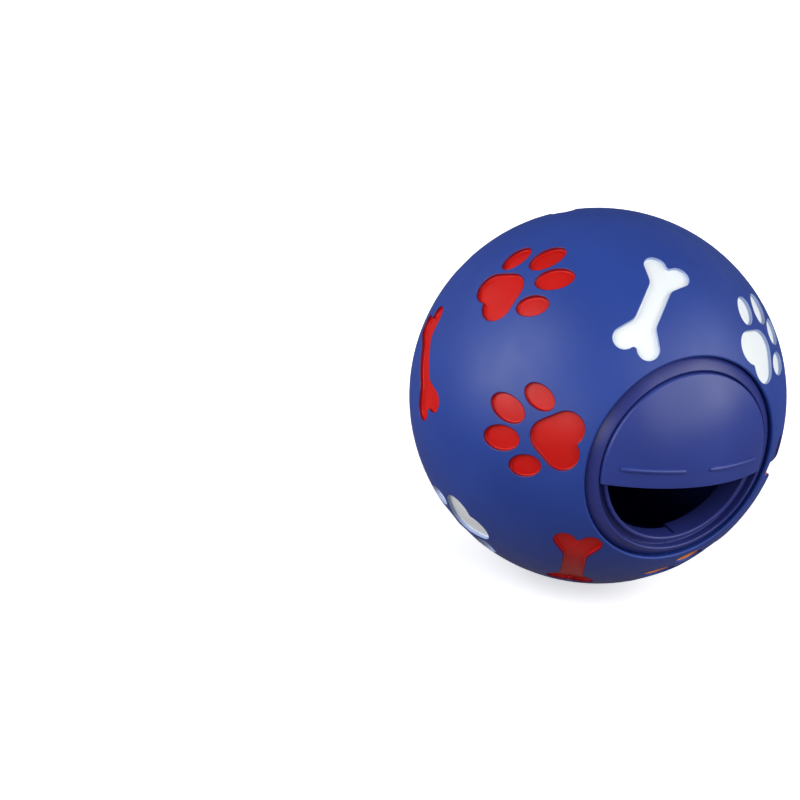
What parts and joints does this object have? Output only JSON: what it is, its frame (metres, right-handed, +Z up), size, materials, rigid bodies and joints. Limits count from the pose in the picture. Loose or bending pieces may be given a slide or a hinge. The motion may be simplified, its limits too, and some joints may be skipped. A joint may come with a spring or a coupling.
{
  "type": "dog toy ball",
  "caption": "Hollow vinyl treat ball with recessed painted paw prints and bones, and a round insert whose half-moon dial turns to open or close the treat opening.",
  "frame": {"origin": "centre of the ball", "axes": "+Z up; the treat opening faces along -Y and its dial is level, with the open half below, as in the picture's rest state"},
  "size_m": [0.1447, 0.1447, 0.1448],
  "materials": {
    "vinyl_blue": "satin soft vinyl, mid blue",
    "collar_plastic": "smooth moulded plastic, violet blue",
    "dial_plastic": "smooth moulded plastic, violet blue",
    "paint_red": "satin red paint in the recesses",
    "paint_white": "satin white paint in the recesses",
    "paint_orange": "satin orange paint in the recesses"
  },
  "bodies": {
    "ball": {"ball_shell": "vinyl_blue", "insert_collar": "collar_plastic"},
    "dial": {"shutter_dial": "dial_plastic"}
  },
  "joints": [
    {"name": "dial_turn", "type": "hinge", "parent": "ball", "child": "dial", "pos_m": [0, -0.0588, 0], "axis": [0, -1, 0], "continuous": true}
  ]
}
